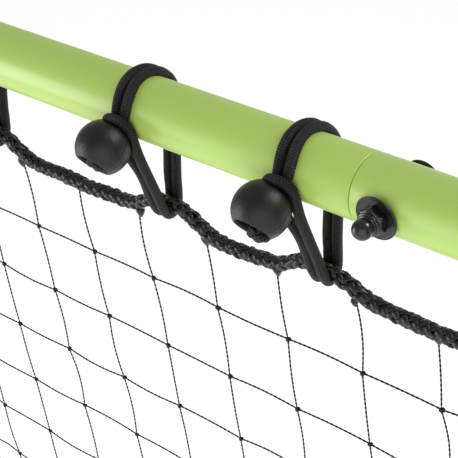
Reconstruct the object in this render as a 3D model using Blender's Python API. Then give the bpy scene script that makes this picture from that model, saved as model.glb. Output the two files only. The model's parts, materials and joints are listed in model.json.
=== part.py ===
"""Rebound net: a square net held by elastic ball ties inside a bolted tube frame, leaning on a folding tube support.

Units are metres. +Z is up, +X runs along the rails, and the net's hitting side faces +Y.
The origin is on the ground, under the middle of the object's box.
"""

import math

import bmesh
import bpy
from mathutils import Matrix, Vector

MM = 0.001

# Main frame: one round tube, bent four times, bolted at the middle of each side
FRAME_WIDTH = 1000 * MM
FRAME_HEIGHT = 1000 * MM
TUBE_RADIUS = 17.5 * MM
TUBE_WALL = 1.5 * MM
BEND_RADIUS = 110 * MM
LEAN = math.radians(11.3)

# Bolted joints: a reduced end slides into the next tube, one bolt holds it
SPIGOT_LENGTH = 45 * MM
SWAGE_LENGTH = 10 * MM
SLIDE_GAP = 0.3 * MM
PART_GAP = 0.3 * MM
BOLT_FROM_SEAM = 16.8 * MM
BOLT_RADIUS = 4 * MM
BOLT_GAP = 0.3 * MM
HEAD_OVERHANG = 6.25 * MM
HEAD_HEIGHT = 4.5 * MM
WASHER_RIM = 7.1 * MM
WASHER_FOOT = 4.0 * MM
WASHER_FOOT_RISE = 0.2 * MM
WASHER_THICKNESS = 1.2 * MM
WASHER_SKIRT = 3.3 * MM
NUT_WALL = 2.2 * MM
NUT_HEIGHT = 4.5 * MM
NUT_COLLAR_HEIGHT = 1.8 * MM
NUT_DOME_RADIUS = 4.7 * MM
NUT_DOME_HEIGHT = 7.7 * MM
BOLT_TIP_GAP = 0.7 * MM

# Net, border rope and ball ties
ROPE_OFFSET = 72 * MM
ROPE_RADIUS = 4.5 * MM
NET_FROM_TIES = 1.6 * MM
NET_THICKNESS = 3 * MM
CORD_THICKNESS = 5 * MM
CORD_PAIR_WIDTH = 10.5 * MM
TIE_ROPE_GAP = 0.9 * MM
BALL_RADIUS = 14.75 * MM
BALL_FROM_TUBE = 0.75 * MM
BALL_SET_BELOW = math.radians(15)
BALL_AIM_BELOW = math.radians(25)
BALL_MOUTH_RADIUS = 9.2 * MM
BALL_MOUTH_DEPTH = 5 * MM
RAIL_TIE_STATIONS = (-149 * MM, -39 * MM, 105 * MM, 200 * MM)
STILE_TIE_STATIONS = (-149 * MM, -39 * MM, 71 * MM, 181 * MM)
TIE_FROM_FOOT = 24 * MM

# Folding support: one bent tube on two hinges
SUPPORT_TUBE_RADIUS = 15 * MM
SUPPORT_WALL = 1.5 * MM
SUPPORT_BEND_RADIUS = 100 * MM
SUPPORT_LEAN = math.radians(28)
PIVOT_ABOVE_SEAM = 110 * MM
HUB_RADIUS = 28 * MM
HUB_SADDLE_DEPTH = 8 * MM
HUB_WALL = 12 * MM
HUB_RUNNING_GAP = 0.6 * MM
HUB_WEB = 0.4 * MM
ARM_END = 18 * MM
SLEEVE_WALL = 3.7 * MM
SLEEVE_TOP = 4 * MM
SLEEVE_END_GAP = 2 * MM
SLEEVE_LENGTH = 60 * MM
BOSS_RADIUS = 13 * MM
BOSS_HEIGHT = 1.5 * MM
KNOB_GAP = 0.4 * MM
KNOB_RADIUS = 22 * MM
KNOB_LOBES = 6
KNOB_LOBE_DEPTH = 2.6 * MM
KNOB_HEIGHT = 23 * MM
KNOB_BORE_DEPTH = 16 * MM

# Feet: clips with a flat sole
FOOT_LENGTH = 50 * MM
FOOT_SOLE = 8 * MM
FOOT_EDGE = 5 * MM
FOOT_WALL = 3.5 * MM
FOOT_FROM_BEND = 2.5 * MM
FRONT_FOOT_HALF_WIDTH = 26 * MM
REAR_FOOT_HALF_WIDTH = 24 * MM
CLIP_LIP = math.radians(35)

# Facets
TUBE_SIDES = 12
SUPPORT_SIDES = 12
ROPE_SIDES = 8
BOLT_SIDES = 12
BALL_SIDES = 8
HUB_SIDES = 24
BEND_STEPS = 5

# Sizes that follow from the ones above
HALF_WIDTH = FRAME_WIDTH / 2 - TUBE_RADIUS
HALF_HEIGHT = FRAME_HEIGHT / 2 - TUBE_RADIUS
TUBE_BORE = TUBE_RADIUS - TUBE_WALL
BOLT_HOLE_RADIUS = BOLT_RADIUS + BOLT_GAP
HEAD_RADIUS = BOLT_RADIUS + HEAD_OVERHANG
WASHER_RADIUS = BOLT_HOLE_RADIUS + WASHER_RIM
NUT_FLATS = 2 * (BOLT_HOLE_RADIUS + NUT_WALL)
NUT_COLLAR_RADIUS = NUT_FLATS / 2 - 0.5 * MM
TIE_ROPE_REACH = ROPE_RADIUS + TIE_ROPE_GAP
NET_OFFSET = ROPE_OFFSET + TIE_ROPE_REACH + CORD_THICKNESS + NET_FROM_TIES
FRONT_RAIL_Z = TUBE_RADIUS + FOOT_SOLE
REAR_RAIL_Z = SUPPORT_TUBE_RADIUS + FOOT_SOLE
PIVOT_UP_NET = HALF_HEIGHT + PIVOT_ABOVE_SEAM
PIVOT_BEHIND = PIVOT_UP_NET * math.sin(LEAN)
PIVOT_Z = FRONT_RAIL_Z + PIVOT_UP_NET * math.cos(LEAN)
ARM_LENGTH = (PIVOT_Z - REAR_RAIL_Z) / math.cos(SUPPORT_LEAN)
REAR_RAIL_BEHIND = PIVOT_BEHIND + ARM_LENGTH * math.sin(SUPPORT_LEAN)
HUB_FACE = HALF_WIDTH + TUBE_RADIUS + HUB_WALL
SUPPORT_HUB_FACE = HUB_FACE + HUB_RUNNING_GAP
SLEEVE_BORE = SUPPORT_TUBE_RADIUS + SLIDE_GAP
SLEEVE_RADIUS = SLEEVE_BORE + SLEEVE_WALL
ARM_X = SUPPORT_HUB_FACE + SLEEVE_RADIUS + HUB_WEB
BOSS_FACE = ARM_X + SLEEVE_RADIUS + BOSS_HEIGHT
KNOB_FACE = BOSS_FACE + KNOB_GAP
CORNER_FOOT_X = HALF_WIDTH - BEND_RADIUS - FOOT_FROM_BEND - FOOT_LENGTH / 2
OUTER_TIE = FOOT_LENGTH + FOOT_FROM_BEND + TIE_FROM_FOOT
BALL_FROM_AXIS = TUBE_RADIUS + BALL_FROM_TUBE + BALL_RADIUS
ORIGIN_Y = (REAR_RAIL_BEHIND + REAR_FOOT_HALF_WIDTH - FRONT_FOOT_HALF_WIDTH) / 2

X_AXIS = Vector((1, 0, 0))
Y_AXIS = Vector((0, 1, 0))
Z_AXIS = Vector((0, 0, 1))

# The four sides in the order that the tubes plug into each other: name, running direction, outward direction
SIDES = (
    ("top", X_AXIS, Z_AXIS),
    ("right", -Z_AXIS, X_AXIS),
    ("bottom", -X_AXIS, -Z_AXIS),
    ("left", Z_AXIS, -X_AXIS),
)
CORNER_NAMES = ("upper_left", "upper_right", "lower_right", "lower_left")


def clear_scene():
    for obj in list(bpy.data.objects):
        bpy.data.objects.remove(obj, do_unlink=True)


def make_material(name, colour, roughness, metallic=0.0):
    material = bpy.data.materials.new(name)
    material.use_nodes = True
    shader = material.node_tree.nodes["Principled BSDF"]
    shader.inputs["Base Color"].default_value = (*colour, 1)
    shader.inputs["Roughness"].default_value = roughness
    shader.inputs["Metallic"].default_value = metallic
    return material


def make_empty(name, location, tilt):
    empty = bpy.data.objects.new(name, None)
    empty.location = location
    empty.rotation_euler = (tilt, 0, 0)
    bpy.context.scene.collection.objects.link(empty)
    return empty


def place(name, mesh, parent, location=(0, 0, 0), rotation=(0, 0, 0)):
    obj = bpy.data.objects.new(name, mesh)
    bpy.context.scene.collection.objects.link(obj)
    obj.parent = parent
    obj.location = location
    obj.rotation_euler = rotation
    return obj


def finish_mesh(name, bm, material, sharp=math.radians(35)):
    bmesh.ops.recalc_face_normals(bm, faces=bm.faces)
    if bm.calc_volume(signed=True) < 0:
        bmesh.ops.reverse_faces(bm, faces=bm.faces)
    mesh = bpy.data.meshes.new(name)
    bm.to_mesh(mesh)
    bm.free()
    mesh.shade_smooth()
    mesh.set_sharp_from_angle(angle=sharp)
    if material:
        mesh.materials.append(material)
    return mesh


def skin(rings, material, name, closed=False):
    """A body through a row of rings; closed joins the last ring to the first, otherwise both ends are capped."""
    bm = bmesh.new()
    loops = [[bm.verts.new(point) for point in ring] for ring in rings]
    pairs = list(zip(loops, loops[1:]))
    if closed:
        pairs.append((loops[-1], loops[0]))
    for one, two in pairs:
        for i in range(len(one)):
            j = (i + 1) % len(one)
            bm.faces.new((one[i], one[j], two[j], two[i]))
    if not closed:
        bm.faces.new(loops[0])
        bm.faces.new(loops[-1])
    return finish_mesh(name, bm, material)


def turned(name, profile, sides, material, axis=Z_AXIS, closed=False, shape=None):
    """A turned body: profile holds (radius, height along axis); shape(angle, radius, step) may bend a ring."""
    turn = Z_AXIS.rotation_difference(axis).to_matrix()
    rings = []
    for step, (radius, height) in enumerate(profile):
        ring = []
        for i in range(sides):
            angle = 2 * math.pi * i / sides
            reach = shape(angle, radius, step) if shape else radius
            ring.append(turn @ Vector((reach * math.cos(angle), reach * math.sin(angle), height)))
        rings.append(ring)
    return skin(rings, material, name, closed)


def extruded(name, outline, length, material):
    """An outline in Y and Z, drawn out along X about the middle."""
    rings = [[Vector((x, y, z)) for y, z in outline] for x in (-length / 2, length / 2)]
    return skin(rings, material, name)


def bend(before, corner, after, radius, steps=BEND_STEPS):
    """The points of a round bend in the XZ plane, each with the direction square to the run in that plane."""
    into = (corner - before).normalized()
    out = (after - corner).normalized()
    turn = into.angle(out)
    start = corner - into * radius * math.tan(turn / 2)
    centre = corner + (out - into).normalized() * radius / math.cos(turn / 2)
    stations = []
    for step in range(steps + 1):
        spin = Matrix.Rotation(turn * step / steps, 3, into.cross(out))
        point = centre + spin @ (start - centre)
        along = spin @ into
        stations.append((point, along.cross(Y_AXIS)))
    return stations


def ring_at(station, radius, sides):
    """A ring round a station, turned so that a flat and not an edge faces outward."""
    point, outward = station
    angles = [2 * math.pi * (i + 0.5) / sides for i in range(sides)]
    return [point + radius * (math.cos(a) * outward + math.sin(a) * Y_AXIS) for a in angles]


def cut(obj, cutters):
    for cutter in cutters:
        cutter.hide_render = True
        cutter.display_type = "WIRE"
        boolean = obj.modifiers.new("cut", "BOOLEAN")
        boolean.operation = "DIFFERENCE"
        boolean.solver = "EXACT"
        boolean.object = cutter


def join(obj, adders):
    for adder in adders:
        adder.hide_render = True
        adder.display_type = "WIRE"
        boolean = obj.modifiers.new("join", "BOOLEAN")
        boolean.operation = "UNION"
        boolean.solver = "EXACT"
        boolean.object = adder


def rod(name, radius, start, end, axis, parent, location, sides=BOLT_SIDES, rotation=(0, 0, 0)):
    """A cutter or a boss: a round bar along axis, from start to end. Its flats lie at the radius."""
    reach = radius / math.cos(math.pi / sides)
    mesh = turned(name, [(reach, start), (reach, end)], sides, None, axis)
    return place(name, mesh, parent, location, rotation)


def side_middle(side):
    """The rail's middle on one side, in the net's own plane: X across, Z up the net."""
    outward = SIDES[side % 4][2]
    return Vector((outward.x * HALF_WIDTH, 0, HALF_HEIGHT + outward.z * HALF_HEIGHT))


def side_half_length(side):
    """From a side's middle to where its bends start."""
    across = (HALF_WIDTH, HALF_HEIGHT)[side % 2]
    return across - BEND_RADIUS


def corner_point(corner, inset=0.0):
    """The sharp corner that side (corner - 1) and side corner meet in, moved inward by inset."""
    before, after = SIDES[(corner - 1) % 4], SIDES[corner]
    reach_x = HALF_WIDTH - inset
    reach_z = HALF_HEIGHT - inset
    both = before[2] + after[2]
    return Vector((both.x * reach_x, 0, HALF_HEIGHT + both.z * reach_z))


def rounded_square(inset, radius, steps=BEND_STEPS):
    corners = [corner_point(k, inset) for k in range(4)]
    stations = []
    for k in range(4):
        stations += bend(corners[k - 1], corners[k], corners[(k + 1) % 4], radius, steps)
    return stations


def bolt_point(side):
    return side_middle(side) + SIDES[side][1] * BOLT_FROM_SEAM


def bolt_turn(side):
    """Turns a bolt modelled along Y, square to the net, to its side."""
    return (0, side * math.pi / 2, 0)


def make_frame_tubes(net_frame, material):
    spigot_radius = TUBE_BORE - SLIDE_GAP
    spigot_bore = spigot_radius - TUBE_WALL
    for k, name in enumerate(CORNER_NAMES):
        before, after = (k - 1) % 4, k
        along_in, out_in = SIDES[before][1:]
        along_out, out_out = SIDES[after][1:]
        start = (side_middle(before) + along_in * PART_GAP / 2, out_in)
        corner = bend(side_middle(before), corner_point(k), side_middle(after), BEND_RADIUS)
        shoulder = (side_middle(after) - along_out * PART_GAP / 2, out_out)
        tip = (shoulder[0] + along_out * SPIGOT_LENGTH, out_out)
        swage = (shoulder[0] - along_out * SWAGE_LENGTH, out_out)
        outside = [(start, TUBE_RADIUS), *[(station, TUBE_RADIUS) for station in corner], (shoulder, TUBE_RADIUS)]
        spigot = [(shoulder, spigot_radius), (tip, spigot_radius), (tip, spigot_bore), (shoulder, spigot_bore)]
        inside = [(swage, TUBE_BORE), *[(station, TUBE_BORE) for station in reversed(corner)], (start, TUBE_BORE)]
        rings = [ring_at(station, radius, TUBE_SIDES) for station, radius in outside + spigot + inside]
        tube = place("frame_tube_" + name, skin(rings, material, name, closed=True), net_frame)
        reach = TUBE_RADIUS + 3 * MM
        hole = ("hole", BOLT_HOLE_RADIUS, -reach, reach)
        cutters = [
            rod(*hole, Y_AXIS, net_frame, bolt_point(side), rotation=bolt_turn(side)) for side in (before, after)
        ]
        if name.startswith("upper"):
            pivot = Vector((corner_point(k).x, 0, PIVOT_UP_NET))
            cutters.append(rod(*hole, X_AXIS, net_frame, pivot))
        cut(tube, cutters)


def hexagon(flats):
    def shape(angle, radius, step):
        if step not in (0, 1):
            return radius
        from_flat = (angle + math.pi / 6) % (math.pi / 3) - math.pi / 6
        return flats / 2 / math.cos(from_flat)

    return shape


def bolt_profile(head_face, shank_end):
    """A mushroom head that sits outside head_face, on a shank that ends at shank_end."""
    return [
        (0.35 * HEAD_RADIUS, head_face + HEAD_HEIGHT),
        (0.8 * HEAD_RADIUS, head_face + 0.7 * HEAD_HEIGHT),
        (HEAD_RADIUS, head_face + 0.15 * HEAD_HEIGHT),
        (HEAD_RADIUS, head_face),
        (BOLT_RADIUS, head_face),
        (BOLT_RADIUS, shank_end),
    ]


def make_joint_fasteners(net_frame, materials):
    seat = TUBE_RADIUS + PART_GAP
    nut_seat = seat + WASHER_THICKNESS + PART_GAP
    nut_top = nut_seat + NUT_HEIGHT
    collar_top = nut_top + NUT_COLLAR_HEIGHT
    dome_top = collar_top + NUT_DOME_HEIGHT
    shank_end = nut_top
    bolt = turned("joint_bolt", bolt_profile(seat, -shank_end), BOLT_SIDES, materials["bolt"], Y_AXIS)
    washer_hole = BOLT_HOLE_RADIUS / math.cos(math.pi / BOLT_SIDES)
    washer_outline = [
        (washer_hole, seat - WASHER_SKIRT),
        (BOLT_HOLE_RADIUS + WASHER_FOOT, seat - WASHER_SKIRT),
        (BOLT_HOLE_RADIUS + WASHER_FOOT, seat + WASHER_FOOT_RISE),
        (WASHER_RADIUS, seat + WASHER_FOOT_RISE),
        (WASHER_RADIUS, seat + WASHER_THICKNESS),
        (washer_hole, seat + WASHER_THICKNESS),
    ]
    washer = turned("joint_washer", washer_outline, BOLT_SIDES, materials["washer"], -Y_AXIS, closed=True)
    nut_outline = [
        (NUT_FLATS / 2, nut_seat),
        (NUT_FLATS / 2, nut_top),
        (NUT_COLLAR_RADIUS, collar_top),
        (NUT_DOME_RADIUS, collar_top),
        (NUT_DOME_RADIUS, collar_top + 0.45 * NUT_DOME_HEIGHT),
        (0.6 * NUT_DOME_RADIUS, collar_top + 0.9 * NUT_DOME_HEIGHT),
        (0.2 * NUT_DOME_RADIUS, dome_top),
    ]
    nut_body = turned("joint_nut", nut_outline, BOLT_SIDES, materials["nut"], -Y_AXIS, shape=hexagon(NUT_FLATS))
    for side, (name, *_) in enumerate(SIDES):
        at, turn = bolt_point(side), bolt_turn(side)
        place("joint_bolt_" + name, bolt, net_frame, at, turn)
        saddle = place("joint_washer_" + name, washer, net_frame, at, turn)
        tube_cut = (seat, -2 * WASHER_RADIUS, 2 * WASHER_RADIUS)
        cut(saddle, [rod("washer_seat", *tube_cut, X_AXIS, net_frame, at, HUB_SIDES, turn)])
        nut = place("joint_nut_" + name, nut_body, net_frame, at, turn)
        bore = (BOLT_HOLE_RADIUS, nut_seat - 2 * MM, shank_end + BOLT_TIP_GAP)
        cut(nut, [rod("nut_bore", *bore, -Y_AXIS, net_frame, at, rotation=turn)])


def make_net_and_rope(net_frame, materials):
    stations = rounded_square(ROPE_OFFSET, BEND_RADIUS - ROPE_OFFSET)
    rope = skin([ring_at(s, ROPE_RADIUS, ROPE_SIDES) for s in stations], materials["rope"], "border_rope", closed=True)
    place("border_rope", rope, net_frame)
    outline = [point for point, _ in rounded_square(NET_OFFSET, BEND_RADIUS - NET_OFFSET, 3)]
    half = Vector((0, NET_THICKNESS / 2, 0))
    net = skin([[p - half for p in outline], [p + half for p in outline]], materials["net"], "net")
    place("net", net, net_frame)


def tie_mesh(net_frame, materials):
    """One doubled cord looped round the tube and the rope, joined to its ball.

    Its X runs along the tube, its Z points away from the net, and its zero is on the tube's axis.
    """
    tube_reach = (TUBE_RADIUS + PART_GAP) / math.cos(math.pi / 12)
    rope_reach = TIE_ROPE_REACH / math.cos(math.pi / 6)
    lean = math.asin((tube_reach - rope_reach) / ROPE_OFFSET)
    rings = []
    for centre, reach, first, last, steps in (
        (Vector((0, 0, 0)), tube_reach, -lean, math.pi + lean, 6),
        (Vector((0, 0, -ROPE_OFFSET)), rope_reach, math.pi + lean, 2 * math.pi - lean, 3),
    ):
        for step in range(steps + 1):
            angle = first + (last - first) * step / steps
            outward = Vector((0, math.cos(angle), math.sin(angle)))
            half = X_AXIS * CORD_PAIR_WIDTH / 2
            near = centre + outward * reach
            far = near + outward * CORD_THICKNESS
            rings.append([near - half, near + half, far + half, far - half])
    tie = place("tie_cord", skin(rings, materials["tie"], "ball_tie", closed=True), net_frame)
    facing = Vector((0, -math.cos(BALL_AIM_BELOW), -math.sin(BALL_AIM_BELOW)))
    centre = BALL_FROM_AXIS * Vector((0, -math.cos(BALL_SET_BELOW), -math.sin(BALL_SET_BELOW)))
    mouth = math.sqrt(BALL_RADIUS**2 - BALL_MOUTH_RADIUS**2)
    profile = [(BALL_RADIUS * math.cos(a), BALL_RADIUS * math.sin(a)) for a in map(math.radians, (-75, -38, 0, 28))]
    profile += [(BALL_MOUTH_RADIUS, mouth), (0.7 * BALL_MOUTH_RADIUS, mouth - BALL_MOUTH_DEPTH)]
    ball = place("tie_ball", turned("tie_ball", profile, BALL_SIDES, materials["tie"], facing), net_frame, centre)
    join(tie, [ball])
    view = bpy.context.evaluated_depsgraph_get()
    joined = bpy.data.meshes.new_from_object(tie.evaluated_get(view))
    joined.name = "ball_tie"
    for scrap in (tie, ball):
        bpy.data.objects.remove(scrap, do_unlink=True)
    return joined


def make_ball_ties(net_frame, materials):
    mesh = tie_mesh(net_frame, materials)
    for side, (name, along, _) in enumerate(SIDES):
        outer = side_half_length(side) - OUTER_TIE
        inner = (RAIL_TIE_STATIONS, STILE_TIE_STATIONS)[side % 2]
        turn = (0, side * math.pi / 2, 0)
        for number, station in enumerate(sorted((-outer, *inner, outer)), start=1):
            place(f"ball_tie_{name}_{number}", mesh, net_frame, side_middle(side) + along * station, turn)
    for k, name in enumerate(CORNER_NAMES):
        point, _ = bend(side_middle(k - 1), corner_point(k), side_middle(k), BEND_RADIUS, 2)[1]
        turn = (0, (k - 0.5) * math.pi / 2, 0)
        place("ball_tie_corner_" + name, mesh, net_frame, point, turn)


def foot_mesh(name, tube_radius, rail_z, half_width, material):
    """A clip round a rail: flat sole below, two lips that reach above the rail's middle."""
    steps = 10
    outer = tube_radius + FOOT_WALL
    inner = (tube_radius + PART_GAP) / math.cos(math.radians(125) / steps)
    shoulder = math.radians(30)
    lip = CLIP_LIP
    outline = [(-half_width, -rail_z), (half_width, -rail_z), (half_width, -rail_z + FOOT_EDGE)]
    for step in range(4):
        angle = -shoulder + (lip + shoulder) * step / 3
        outline.append((outer * math.cos(angle), outer * math.sin(angle)))
    for step in range(steps + 1):
        angle = lip - (math.pi + 2 * lip) * step / steps
        outline.append((inner * math.cos(angle), inner * math.sin(angle)))
    for step in range(4):
        angle = math.pi - lip + (lip + shoulder) * step / 3
        outline.append((outer * math.cos(angle), outer * math.sin(angle)))
    outline.append((-half_width, -rail_z + FOOT_EDGE))
    return extruded(name, outline, FOOT_LENGTH, material)


def make_feet(net_frame, support, materials):
    front = foot_mesh("foot_front", TUBE_RADIUS, FRONT_RAIL_Z, FRONT_FOOT_HALF_WIDTH, materials["foot"])
    rear = foot_mesh("foot_rear", SUPPORT_TUBE_RADIUS, REAR_RAIL_Z, REAR_FOOT_HALF_WIDTH, materials["foot"])
    for name, side in (("left", -1), ("right", 1)):
        x = side * CORNER_FOOT_X
        place("foot_front_" + name, front, net_frame, (x, 0, 0), (-LEAN, 0, 0))
        place("foot_rear_" + name, rear, support, (x, 0, -ARM_LENGTH), (SUPPORT_LEAN, 0, 0))


def make_support_tube(support, material):
    low = -ARM_LENGTH
    corners = [Vector((x, 0, z)) for x, z in ((-ARM_X, ARM_END), (-ARM_X, low), (ARM_X, low), (ARM_X, ARM_END))]
    first = (corners[0], (corners[1] - corners[0]).normalized().cross(Y_AXIS))
    last = (corners[3], (corners[3] - corners[2]).normalized().cross(Y_AXIS))
    bends = bend(*corners[:3], SUPPORT_BEND_RADIUS) + bend(*corners[1:], SUPPORT_BEND_RADIUS)
    run = [first, *bends, last]
    bore = SUPPORT_TUBE_RADIUS - SUPPORT_WALL
    rings = [ring_at(station, SUPPORT_TUBE_RADIUS, SUPPORT_SIDES) for station in run]
    rings += [ring_at(station, bore, SUPPORT_SIDES) for station in reversed(run)]
    tube = place("support_tube", skin(rings, material, "support_tube", closed=True), support)
    reach = SUPPORT_TUBE_RADIUS + 3 * MM
    cut(tube, [rod("arm_hole", BOLT_HOLE_RADIUS, -reach, reach, X_AXIS, support, (x, 0, 0)) for x in (-ARM_X, ARM_X)])


def make_hinge(side, name, net_frame, support, materials):
    """One hinge: a hub saddled on the frame, a hub on the support's arm, the pivot bolt and its star knob."""
    out = X_AXIS * side
    pivot = Vector((0, 0, PIVOT_UP_NET))
    stile = Vector((side * HALF_WIDTH, 0, PIVOT_UP_NET))
    saddle = HALF_WIDTH + TUBE_RADIUS - HUB_SADDLE_DEPTH
    reach = 2 * HUB_RADIUS

    hub_outline = [(HUB_RADIUS, saddle), (HUB_RADIUS, HUB_FACE)]
    hub = place("hinge_hub_" + name, turned("hinge_hub", hub_outline, HUB_SIDES, materials["hub"], out), net_frame, pivot)
    stile_cut = rod("stile_cut", TUBE_RADIUS + PART_GAP, -reach, reach, Z_AXIS, net_frame, stile, TUBE_SIDES)
    bolt_hole = rod("hub_hole", BOLT_HOLE_RADIUS, 0, HUB_FACE + reach, out, net_frame, pivot)
    cut(hub, [stile_cut, bolt_hole])

    plate_outline = [(HUB_RADIUS, SUPPORT_HUB_FACE), (HUB_RADIUS, ARM_X)]
    plate = turned("support_hub", plate_outline, HUB_SIDES, materials["hub"], out)
    plate = place("support_hub_" + name, plate, support)
    arm = (side * ARM_X, 0, 0)
    bore_top = ARM_END + SLEEVE_END_GAP
    sleeve = rod("sleeve", SLEEVE_RADIUS, -SLEEVE_LENGTH, bore_top + SLEEVE_TOP, Z_AXIS, support, arm, HUB_SIDES)
    boss = rod("boss", BOSS_RADIUS, ARM_X, BOSS_FACE, out, support, (0, 0, 0), HUB_SIDES)
    join(plate, [sleeve, boss])
    arm_bore = rod("arm_bore", SLEEVE_BORE, -2 * SLEEVE_LENGTH, bore_top, Z_AXIS, support, arm, SUPPORT_SIDES)
    pin_hole = rod("pin_hole", BOLT_HOLE_RADIUS, HUB_FACE - reach, HUB_FACE + reach, out, support, (0, 0, 0))
    cut(plate, [arm_bore, pin_hole])

    head_face = HALF_WIDTH - TUBE_RADIUS - PART_GAP
    shank_end = KNOB_FACE + KNOB_BORE_DEPTH - BOLT_TIP_GAP
    bolt_outline = bolt_profile(-head_face, -shank_end)
    bolt = turned("pivot_bolt", bolt_outline, BOLT_SIDES, materials["bolt"], -out)
    place("pivot_bolt_" + name, bolt, net_frame, pivot)

    def star(angle, radius, step):
        return radius + KNOB_LOBE_DEPTH * math.cos(KNOB_LOBES * angle) * (radius > BOSS_RADIUS + 2 * MM)

    grip = KNOB_RADIUS - KNOB_LOBE_DEPTH
    knob_outline = [
        (BOSS_RADIUS, 0),
        (BOSS_RADIUS, 0.2 * KNOB_HEIGHT),
        (0.94 * grip, 0.25 * KNOB_HEIGHT),
        (grip, 0.38 * KNOB_HEIGHT),
        (grip, 0.85 * KNOB_HEIGHT),
        (0.9 * grip, KNOB_HEIGHT),
    ]
    knob_mesh = turned("hinge_knob", knob_outline, 4 * KNOB_LOBES, materials["knob"], out, shape=star)
    knob_axis = make_empty("knob_axis_" + name, (side * KNOB_FACE, 0, PIVOT_UP_NET), 0)
    knob_axis.parent = net_frame
    knob = place("hinge_knob_" + name, knob_mesh, knob_axis)
    bore = rod("knob_bore", BOLT_HOLE_RADIUS, -2 * MM, KNOB_BORE_DEPTH, out, knob_axis, (0, 0, 0))
    cut(knob, [bore])


def main():
    clear_scene()
    green = (0.38, 0.60, 0.13)
    black = (0.012, 0.012, 0.012)
    materials = {
        "frame_tube": make_material("frame_tube", green, 0.35),
        "support_tube": make_material("support_tube", green, 0.35),
        "bolt": make_material("bolt", (0.02, 0.02, 0.02), 0.3, 0.8),
        "washer": make_material("washer", black, 0.35),
        "nut": make_material("nut", (0.015, 0.015, 0.015), 0.25),
        "rope": make_material("rope", black, 0.4),
        "net": make_material("net", (0.02, 0.02, 0.02), 0.6),
        "tie": make_material("tie", (0.016, 0.016, 0.016), 0.6),
        "hub": make_material("hub", (0.018, 0.018, 0.018), 0.5),
        "knob": make_material("knob", black, 0.45),
        "foot": make_material("foot", black, 0.65),
    }
    net_frame = make_empty("net_frame_axes", (0, ORIGIN_Y, FRONT_RAIL_Z), LEAN)
    support = make_empty("support_pivot", (0, ORIGIN_Y - PIVOT_BEHIND, PIVOT_Z), -SUPPORT_LEAN)
    bpy.context.view_layer.update()
    make_frame_tubes(net_frame, materials["frame_tube"])
    make_joint_fasteners(net_frame, materials)
    make_net_and_rope(net_frame, materials)
    make_ball_ties(net_frame, materials)
    make_support_tube(support, materials["support_tube"])
    for side, name in ((-1, "left"), (1, "right")):
        make_hinge(side, name, net_frame, support, materials)
    make_feet(net_frame, support, materials)


main()
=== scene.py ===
"""Finished model of a rebound net: bolted tube frame, folding support, braided border rope and ball ties.

Shapes are worked out in millimetres, in the net's or the support's own axes, and to_net and to_support place
them in metres. Net axes: X along the top rail, Y square to the net on its hitting side, Z up the net.
"""

import json
import math

import bmesh
import bpy
import numpy as np
from mathutils import Matrix


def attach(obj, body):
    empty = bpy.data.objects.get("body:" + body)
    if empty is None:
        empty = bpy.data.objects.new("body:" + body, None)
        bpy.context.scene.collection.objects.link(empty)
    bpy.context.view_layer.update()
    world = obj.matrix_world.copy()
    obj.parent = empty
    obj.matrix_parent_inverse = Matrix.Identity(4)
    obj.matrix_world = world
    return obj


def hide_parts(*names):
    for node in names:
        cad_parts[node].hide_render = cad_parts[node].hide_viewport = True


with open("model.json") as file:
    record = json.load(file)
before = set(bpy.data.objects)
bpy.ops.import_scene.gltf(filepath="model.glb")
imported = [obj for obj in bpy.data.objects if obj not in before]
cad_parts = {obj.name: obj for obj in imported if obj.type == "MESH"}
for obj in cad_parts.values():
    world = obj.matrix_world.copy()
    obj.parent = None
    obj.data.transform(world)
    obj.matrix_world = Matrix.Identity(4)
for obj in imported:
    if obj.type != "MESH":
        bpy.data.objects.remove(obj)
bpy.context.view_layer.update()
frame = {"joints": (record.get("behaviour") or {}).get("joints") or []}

MM = 0.001

# Sizes shared with the frame, in millimetres, and its two leans
LEAN = math.radians(11.3)
SUPPORT_LEAN = math.radians(28)
HALF_FRAME = 482.5
BEND_RADIUS = 110
TUBE_RADIUS = 17.5
TUBE_BORE = 16
TUBE_GAP = 0.3
SPIGOT_RADIUS = 15.7
SPIGOT_BORE = 14.2
SPIGOT_LENGTH = 45
SWAGE_LENGTH = 10
EDGE_ROUND = 0.7
PIVOT_UP_NET = 592.5
BOLT_FROM_SEAM = 16.8
WASHER_RADIUS = 11.4
WASHER_FOOT = 8.3
WASHER_FACE = 19.0
NUT_SEAT = 19.3
NUT_HALF_FLATS = 6.5
NUT_HEX_HEIGHT = 4.4
JOINT_BOLT_FACE = 17.7
JOINT_BOLT_TIP = -23.5
SUPPORT_RADIUS = 15
SUPPORT_BORE = 13.5
SUPPORT_BEND = 100
ARM_X = 532
ARM_TOP = 18
ARM_LENGTH = 660.871
PIVOT_BOLT_FACE = -464.7
PIVOT_BOLT_TIP = -567.9
HUB_RADIUS = 28
HUB_ROUND = 1.2
HUB_GROOVE = 0.7
HUB_FACES = (492, 512)
ARM_PLATE_FACES = (512.6, 524)
ARM_PLATE_ROUND = 2.0
SLEEVE_RADIUS = 19
SLEEVE_BORE = 15.4
SLEEVE_GROOVE = 0.6
SLEEVE_SPAN = (-60, 24)
BOSS_RADIUS = 13
BOSS_ROUND = 0.8
BOSS_FACE = 552.5
KNOB_FACE = 552.9
KNOB_HEIGHT = 23
KNOB_GRIP = 19.4
KNOB_LOBE = 2.6
FOOT_LENGTH = 50
FOOT_X = 345
FOOT_SOLE = 8
FOOT_WALL = 3.5
FOOT_BORE_GAP = 0.2
FOOT_GROOVE = 1.2
FOOT_EDGE = 0.5
FOOT_LIP_DEGREES = 35
FRONT_FOOT_HALF_WIDTH = 26
REAR_FOOT_HALF_WIDTH = 24

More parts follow.
